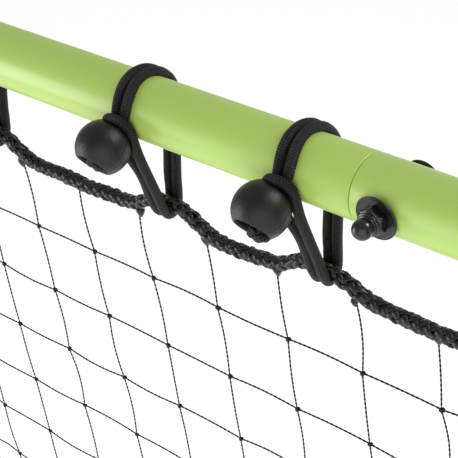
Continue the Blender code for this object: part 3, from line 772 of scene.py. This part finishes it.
def make_net(finishes):
    """Upright and crossing twines, a knot where they meet, and a bound eye where each meets the rope."""
    random = np.random.default_rng(5)
    columns = FIRST_UPRIGHT + MESH_PITCH * np.arange(UPRIGHTS)
    rows = TOP_CROSSING - MESH_PITCH * np.arange(CROSSINGS)[::-1]
    uprights = columns[:, None] + random.normal(0, KNOT_SCATTER, (UPRIGHTS, CROSSINGS + 2))
    crossings = rows[:, None] + random.normal(0, KNOT_SCATTER, (CROSSINGS, UPRIGHTS + 2))
    upright_set, crossing_set, knots, eyes = Surface(), Surface(), Surface(), Surface()
    add_twines(upright_set, eyes, columns, rows, uprights - TWINE_BESIDE_KNOT, True, random)
    add_twines(crossing_set, eyes, rows, columns, crossings + TWINE_BESIDE_KNOT, False, random)
    for column in range(UPRIGHTS):
        for row in range(CROSSINGS):
            at = np.array((uprights[column, row + 1], 0.0, crossings[row, column + 1]))
            knots.add(to_net(knot_grid(at, random)), caps=(True, True))
    twine = finishes["twine"]
    upright_set.finish("net_uprights", twine, "frame", "net_twine", ["net"], 180)
    crossing_set.finish("net_crossings", twine, "frame", "net_twine", ["net"], 180)
    knots.finish("net_knots", twine, "frame", "net_twine", ["net"], 180)
    eyes.finish("net_eyes", finishes["rope"], "frame", "net_twine", ["net"], 180)


def knot_grid(at, random):
    """A sheet-bend knot, as a lump drawn out along a diagonal, waisted where the twines pass."""
    diagonal = math.radians(45 + random.normal(0, 14))
    axis = np.array((math.cos(diagonal), 0.0, math.sin(diagonal)))
    height = np.array((-1.9, -1.45, -0.6, 0.25, 1.0, 1.6, 1.95))
    radius = np.array((0.35, 0.95, 1.3, 1.0, 1.35, 0.9, 0.35)) * random.uniform(0.9, 1.1)
    return turned(np.stack((radius, height), 1), 8, at, axis, Y)


def eye_grid(at, axis, random):
    """Where a twine is bound to the rope: a small pointed tab, widest in the rope."""
    size = random.uniform(0.7, 1.05)
    height = np.array((-2.4, -1.0, 0.6, 2.2, 3.6, 4.8, 5.8)) * size
    radius = np.array((1.2, 2.7, 3.1, 2.7, 2.0, 1.35, 0.55)) * size
    return turned(np.stack((radius, height), 1), 8, at, axis, Y)


# ---------------------------------------------------------------- ball ties


def on_tube(degrees, along, radius=TUBE_RADIUS + CORD_RADIUS - CORD_SQUASH):
    """A point over the tube: 0 degrees is the ball's side, 90 the side away from the net."""
    turn = math.radians(degrees)
    return (along, -radius * math.cos(turn), radius * math.sin(turn))


def ball_axes(aim_below, aim_along, along):
    """The ball's middle and the direction of its open mouth, in the tie's axes."""
    centre = along * X - BALL_FROM_AXIS * (math.cos(BALL_SET_BELOW) * Y + math.sin(BALL_SET_BELOW) * Z)
    mouth = unit(np.array((aim_along, -math.cos(aim_below), -math.sin(aim_below))))
    return centre, mouth


def tie_route(centre, mouth, sway):
    """The cord's points, listed in the tie's axes: X along the tube, Y square to the net, Z out of it.

    The cord leaves the ball's neck, passes over the tube and under the rope, loops over the neck, and returns
    beside itself the same way. Sway carries its lower part along the tube, most of all at the rope.
    """
    inside = centre - mouth * (BALL_RADIUS - CORD_END_BELOW_NECK)
    inside_one = inside - CORD_ENDS_ASIDE * X
    inside_two = inside + CORD_ENDS_ASIDE * X
    route = np.array([
        inside_one, on_tube(1, -1.8, 20.8), on_tube(14, -1.4), on_tube(32, -1.4), on_tube(52, -2.2),
        on_tube(72, -2.9), on_tube(92, -3.1), on_tube(112, -3.0), on_tube(132, -2.8), on_tube(152, -2.6),
        on_tube(172, -2.5), on_tube(192, -2.6), (-2.6, 15.4, -20), (-2.4, 11.8, -34), (-1.9, 8.6, -47),
        (-1.4, 7.2, -56), (-1.1, 5.6, -62.4), (-0.7, 1.8, -65.8), (-0.4, -3.2, -65.4), (0.0, -6.8, -60),
        (0.5, -9.6, -50), (1.8, -13.4, -35), (-0.7, -17.2, -22), (-5.0, -19.9, -12), (-6.8, -20.8, -4),
        (-5.6, -22.2, 1.0), (-2.6, -23.9, 4.4), (1.4, -24.3, 5.6), (5.0, -23.3, 4.6), (8.2, -21.5, 0.6),
        (9.3, -20.5, -6), (9.2, -18.8, -17), (8.6, -15.0, -32), (7.6, -10.4, -48), (6.8, -8.0, -57.5),
        (6.1, -4.0, -64.9), (5.3, 1.6, -66.0), (4.6, 5.6, -62.4), (4.2, 7.4, -56), (3.8, 9.0, -47),
        (3.4, 12.0, -34), (3.2, 15.6, -20), on_tube(192, 3.2), on_tube(172, 3.2), on_tube(152, 3.1),
        on_tube(132, 3.0), on_tube(112, 2.9), on_tube(92, 3.0), on_tube(72, 3.6), on_tube(52, 4.7),
        on_tube(32, 5.2), on_tube(14, 4.4), on_tube(1, 1.4, 20.8), inside_two,
    ])
    front_share = (-route[:, 2] - 15) / 45
    rear_share = (10 - route[:, 2]) / 30
    route[:, 0] += sway * np.clip(np.where(route[:, 1] < 0, front_share, rear_share), 0, 1)
    return route


def pushed_out(points, middle, radius):
    """Points nearer to middle than radius are moved straight away from it to that radius."""
    away = points - middle
    distance = np.linalg.norm(away, axis=-1, keepdims=True)
    return points + away / distance * np.maximum(radius - distance, 0)


def pressed(grid, stations, centre):
    """The cord's skin, pushed out of what it bears on: tube, rope and, but for its two ends, the ball."""
    tube_axis = grid * X
    grid = pushed_out(grid, tube_axis, TUBE_RADIUS + BEDDING_GAP)
    grid = pushed_out(grid, tube_axis - ROPE_AT_TIE * Z, ROPE_BEARING)
    outside = (stations > CORD_INSIDE_BALL) & (stations < stations[-1] - CORD_INSIDE_BALL)
    grid[outside] = pushed_out(grid[outside], centre, BALL_RADIUS + BEDDING_GAP)
    return grid


def ball_profile():
    """A ball as one closed outline: a round rim at its mouth, a bowl inside, and a small hole at its neck."""
    return [
        (3.6, -13.6), *arc((0.0, 0.0), BALL_RADIUS, -74, 46.5, 30), *arc((9.75, 10.2), 0.6, 55, 150, 5),
        (8.9, 9.0), (8.6, 6.0), (7.6, 2.0), (6.0, -1.2), (4.2, -3.2), (3.5, -4.4), (3.4, -9.0),
    ]


def stopper_knot(centre, mouth, sway):
    """An overhand knot in the ball's mouth: ((2 + cos 3t) cos 2t, (2 + cos 3t) sin 2t, 1.25 sin 3t), its flat
    side to the mouth. It sits further out and to one side where the tie sways more."""
    t = circle(84)
    side = unit(np.cross(mouth, (1.0, 0.2, 0.0)))
    axes = np.array((side, np.cross(mouth, side), mouth))
    reach = 2 + np.cos(3 * t)
    line = np.stack((reach * np.cos(2 * t), reach * np.sin(2 * t), 1.25 * np.sin(3 * t)), 1)
    middle = centre + (7.2 + 0.8 * sway) * mouth + 1.4 * sway * X - (1.0 + 0.5 * sway) * Z
    return middle + STOPPER_SIZE * line @ axes


def make_ties(finishes):
    """At each tie place: an elastic cord, its ball, and the knot that stops the cord in the ball."""
    random = np.random.default_rng(3)
    for name, _, at, axes in tie_places()[0]:
        drawn = random.uniform(AIM_LEAST, AIM_MOST)
        *aim, sway = CHOSEN_AIMS.get(name, drawn)
        centre, mouth = ball_axes(*aim)
        path, stations = through(tie_route(centre, mouth, sway), CORD_STEP)
        cord_skin = pressed(cord_rings(path, CORD_RADIUS, 14), stations, centre)
        reference = unit(np.cross(mouth, (0.0, 0.35, 1.0)))
        ball_skin = turned(ball_profile(), 56, centre, mouth, reference)
        knot_skin = cord_rings(stopper_knot(centre, mouth, sway), STOPPER_CORD_RADIUS, 12, closed=True)
        cord, ball, knot = Surface(), Surface(), Surface()
        cord.add(to_net(at + cord_skin @ axes), along=stations * MM, caps=(True, True))
        ball.add(to_net(at + ball_skin @ axes), loop=True)
        knot.add(to_net(at + knot_skin @ axes), loop=True)
        node = ["ball_tie_" + name]
        cord.finish("tie_cord_" + name, finishes["cord"], "frame", "ball_tie", node, 180)
        ball.finish("tie_ball_" + name, finishes["ball"], "frame", "ball_tie", node, 50)
        knot.finish("tie_knot_" + name, finishes["cord"], "frame", "ball_tie", node, 180)


# ---------------------------------------------------------------- hinges, knobs and feet


def knob_reach(turn, radius, height):
    """Six soft lobes, a cosine of six times the angle, swelling above the neck and fading over the crown."""
    share = np.clip((height - 4.0) / 3.0, 0, 1) * np.clip((radius - 8.0) / 6.0, 0, 1)
    return radius + share * KNOB_LOBE * np.cos(6 * turn)


def knob_profile():
    """Neck, grip with rounded shoulders, and a shallow dished crown with a raised plug."""
    top = KNOB_HEIGHT
    return [
        (12.6, 0.0), (13.0, 0.4), (13.0, 3.6), (13.6, 4.6), (16.6, 5.4),
        *arc((KNOB_GRIP - 2.2, 8.0), 2.2, -80, 0, 6), *arc((KNOB_GRIP - 2.6, top - 2.6), 2.6, 0, 90, 7),
        (14.5, top), (13.4, top - 0.3), (12.8, top - 1.0), (9.4, top - 1.1), (8.9, top - 0.9),
        (8.6, top - 0.3), (8.0, top - 0.1), (4.0, top - 0.02),
    ]


def hub_profile():
    """The frame's hub: a disc with rounded rims and a shallow groove round it."""
    inner, outer = HUB_FACES
    rim = HUB_RADIUS - HUB_ROUND
    groove = HUB_RADIUS - HUB_GROOVE
    return [
        (1.0, inner), *arc((rim, inner + HUB_ROUND), HUB_ROUND, -90, 0, 5),
        (HUB_RADIUS, inner + 8.6), (groove, inner + 9.2), (groove, inner + 10.4), (HUB_RADIUS, inner + 11.0),
        *arc((rim, outer - HUB_ROUND), HUB_ROUND, 0, 90, 5), (1.0, outer),
    ]


def arm_plate_profile():
    """The arm's hub: a disc, its outer rim rounded over more than its inner one."""
    inner, outer = ARM_PLATE_FACES
    rounded = ARM_PLATE_ROUND
    return [
        (1.0, inner), *arc((HUB_RADIUS - HUB_ROUND, inner + HUB_ROUND), HUB_ROUND, -90, 0, 5),
        *arc((HUB_RADIUS - rounded, outer - rounded), rounded, 0, 90, 5), (1.0, outer),
    ]


def sleeve_profile():
    """The sleeve over the arm's top: a rolled lower rim, a groove above it, a rounded top and the bore."""
    low, high = SLEEVE_SPAN
    wide = SLEEVE_RADIUS
    groove = wide - SLEEVE_GROOVE
    return [
        (SLEEVE_BORE, low), (wide - 1.2, low), (wide - 0.4, low + 0.6), (wide, low + 1.4), (wide, low + 5),
        (groove, low + 6), (groove, low + 8), (wide, low + 9), (wide, high - 3),
        *arc((wide - 3, high - 3), 3.0, 10, 90, 6), (1.0, high), (0.8, high - 4), (SLEEVE_BORE, high - 4),
    ]


def boss_profile():
    """The boss that the knob bears on, with its outer rim rounded over."""
    rim = BOSS_RADIUS - BOSS_ROUND
    return [
        (1.0, ARM_X), (BOSS_RADIUS, ARM_X), (BOSS_RADIUS, BOSS_FACE - BOSS_ROUND),
        *arc((rim, BOSS_FACE - BOSS_ROUND), BOSS_ROUND, 15, 90, 4), (1.0, BOSS_FACE),
    ]


def make_hinge(side, name, finishes):
    """One hinge: the frame's hub, the arm's hub with sleeve and boss, the pivot bolt and the star knob."""
    out = side * X
    net_pivot = PIVOT_UP_NET * Z
    fold = np.zeros(3)
    head = head_profile(PIVOT_BOLT_FACE, PIVOT_BOLT_TIP)
    hub, arm_hub, bolt, knob = Surface(), Surface(), Surface(), Surface()
    hub.add(to_net(turned(hub_profile(), 96, net_pivot, out, Z)), caps=(True, True))
    arm_hub.add(to_support(turned(arm_plate_profile(), 96, fold, out, Z)), caps=(True, True))
    arm_hub.add(to_support(turned(sleeve_profile(), 80, ARM_X * out, Z, X)), loop=True)
    arm_hub.add(to_support(turned(boss_profile(), 64, fold, out, Z)), caps=(True, True))
    bolt.add(to_net(turned(head, 64, net_pivot, -out, Z)), caps=(True, True))
    knob_seat = net_pivot + KNOB_FACE * out
    knob.add(to_net(turned(knob_profile(), 120, knob_seat, out, Z, knob_reach)), caps=(True, True))
    hub.finish("hub_" + name, finishes["hub"], "frame", "hinge_hub", ["hinge_hub_" + name])
    arm_hub.finish("arm_hub_" + name, finishes["hub"], "support", "hinge_hub", ["support_hub_" + name])
    bolt.finish("hinge_bolt_" + name, finishes["bolt"], "frame", "bolt", ["pivot_bolt_" + name])
    knob.finish("star_knob_" + name, finishes["knob"], "knob_" + name, "knob", ["hinge_knob_" + name], 50)


def foot_outline(tube_radius, half_width):
    """A clip's outline about its rail's axis: a grooved flat sole, shoulders, and two lips over the tube."""
    ground = -tube_radius - FOOT_SOLE
    outer, inner = tube_radius + FOOT_WALL, tube_radius + FOOT_BORE_GAP
    across = np.linspace(-half_width, half_width, 14)
    sole = [(y, ground + (FOOT_GROOVE if k % 2 else 0.0)) for k, y in enumerate(across)]
    sole[-1] = (half_width, ground)
    grooved = []
    for (y0, z0), (y1, z1) in zip(sole, sole[1:]):
        grooved += [(y0, z0)] if z0 == z1 else [(y0, z0), (y1 - 0.6, z0)]
    grooved.append(sole[-1])
    shoulder = [(half_width, ground + 4.2), (half_width - 0.8, ground + 5.0)]
    wall = arc((0.0, 0.0), outer, -30, FOOT_LIP_DEGREES, 14)
    lip = math.radians(FOOT_LIP_DEGREES)
    lip_middle = (outer + inner) / 2 * np.array((math.cos(lip), math.sin(lip)))
    tip = arc(lip_middle, (outer - inner) / 2, FOOT_LIP_DEGREES, FOOT_LIP_DEGREES + 180, 6)
    hollow = arc((0.0, 0.0), inner, FOOT_LIP_DEGREES, -180 - FOOT_LIP_DEGREES, 56)
    mirrored = [(-y, z) for y, z in [*shoulder, *wall, *tip][::-1]]
    return np.array([*grooved, *shoulder, *wall, *tip, *hollow, *mirrored])


def make_feet(finishes):
    """Four clips drawn out along their rails; a foot's own axes stand upright, whatever its rail's lean."""
    front_z = TUBE_RADIUS + FOOT_SOLE
    rail_y = pivot[1] - ARM_LENGTH * MM * math.sin(SUPPORT_LEAN)
    rail_z = pivot[2] - ARM_LENGTH * MM * math.cos(SUPPORT_LEAN)
    for name, side in (("left", -1), ("right", 1)):
        span = (side * FOOT_X - FOOT_LENGTH / 2, side * FOOT_X + FOOT_LENGTH / 2)
        for place, radius, half_width, at, body in (
            ("front", TUBE_RADIUS, FRONT_FOOT_HALF_WIDTH, (NET_ORIGIN[1], front_z * MM), "frame"),
            ("rear", SUPPORT_RADIUS, REAR_FOOT_HALF_WIDTH, (rail_y, rail_z), "support"),
        ):
            foot = Surface()
            outline = foot_outline(radius, half_width)
            grid = MM * extruded_outline(outline, span, FOOT_EDGE) + np.array((0.0, *at))
            foot.add(grid)
            piece = foot.finish(
                f"clip_foot_{place}_{name}", finishes["foot"], body, "foot", [f"foot_{place}_{name}"], 35
            )
            close_ends(piece.data, len(outline), grid.shape[0])


def close_ends(mesh, columns, rows):
    """Closes both ends of a drawn-out outline, and turns its faces outwards."""
    bm = bmesh.new()
    bm.from_mesh(mesh)
    bm.verts.ensure_lookup_table()
    bm.faces.new([bm.verts[i] for i in range(columns)])
    bm.faces.new([bm.verts[(rows - 1) * columns + i] for i in range(columns)])
    bmesh.ops.recalc_face_normals(bm, faces=bm.faces)
    bmesh.ops.triangulate(bm, faces=[face for face in bm.faces if len(face.verts) > 4])
    bm.to_mesh(mesh)
    bm.free()


# ---------------------------------------------------------------- camera, floor and light


def camera_axes():
    """The camera's right, up and backward directions in the row frame, made exactly square."""
    right = unit(CAMERA_RIGHT @ NET_AXES)
    up = CAMERA_UP @ NET_AXES
    up = unit(up - right * (up @ right))
    return np.array((right, up, np.cross(right, up)))


def make_camera():
    data = bpy.data.cameras.new("camera")
    data.lens = CAMERA_LENS
    data.sensor_width = 36.0
    data.clip_start, data.clip_end = 0.01, 50.0
    camera = bpy.data.objects.new("camera", data)
    bpy.context.scene.collection.objects.link(camera)
    turn = Matrix(camera_axes().T.tolist()).to_4x4()
    camera.matrix_world = Matrix.Translation(to_net(CAMERA_AT)) @ turn
    bpy.context.scene.camera = camera


def soft_light(name, direction, distance, size, power):
    """A softbox over the lit spot, in a direction given to the camera's right, up and towards the camera."""
    data = bpy.data.lights.new(name, "AREA")
    data.shape = "RECTANGLE"
    data.size, data.size_y = size
    data.energy = power
    light = bpy.data.objects.new(name, data)
    bpy.context.scene.collection.objects.link(light)
    axes = camera_axes()
    back = unit(np.array(direction, float)) @ axes
    right = unit(np.cross(Z, back))
    turn = Matrix(np.array((right, np.cross(back, right), back)).T.tolist()).to_4x4()
    light.matrix_world = Matrix.Translation(to_net(LIT_SPOT) + back * distance) @ turn
    light.visible_camera = False


def make_studio():
    scene = bpy.context.scene
    scene.view_settings.view_transform = "Standard"
    world = bpy.data.worlds.new("white_room")
    world.use_nodes = True
    world.node_tree.nodes["Background"].inputs["Color"].default_value = (1, 1, 1, 1)
    world.node_tree.nodes["Background"].inputs["Strength"].default_value = 0.46
    scene.world = world
    soft_light("upper_right_softbox", (0.70, 0.63, 0.31), 1.6, (0.5, 0.5), 12)
    soft_light("left_softbox", (-0.975, -0.14, -0.155), 1.6, (0.8, 0.9), 8.5)
    soft_light("low_front_softbox", (-0.05, -0.42, 0.9), 1.5, (1.8, 1.2), 8)
    floor_finish = Finish("floor_white", (0.9, 0.9, 0.9), 0.9, Emission_Strength=0.55)
    floor_finish.shader.inputs["Emission Color"].default_value = (1, 1, 1, 1)
    mesh = bpy.data.meshes.new("floor")
    mesh.from_pydata([(-12, -12, 0), (12, -12, 0), (12, 12, 0), (-12, 12, 0)], [], [(0, 1, 2, 3)])
    mesh.materials.append(floor_finish.material)
    floor = bpy.data.objects.new("floor", mesh)
    scene.collection.objects.link(floor)


make_camera()
finishes = make_finishes()
make_frame_tubes(finishes)
make_support_tube(finishes)
make_joint_fasteners(finishes)
make_rope(finishes)
make_net(finishes)
make_ties(finishes)
for hinge_side, hinge_name in ((-1, "left"), (1, "right")):
    make_hinge(hinge_side, hinge_name, finishes)
make_feet(finishes)
make_studio()
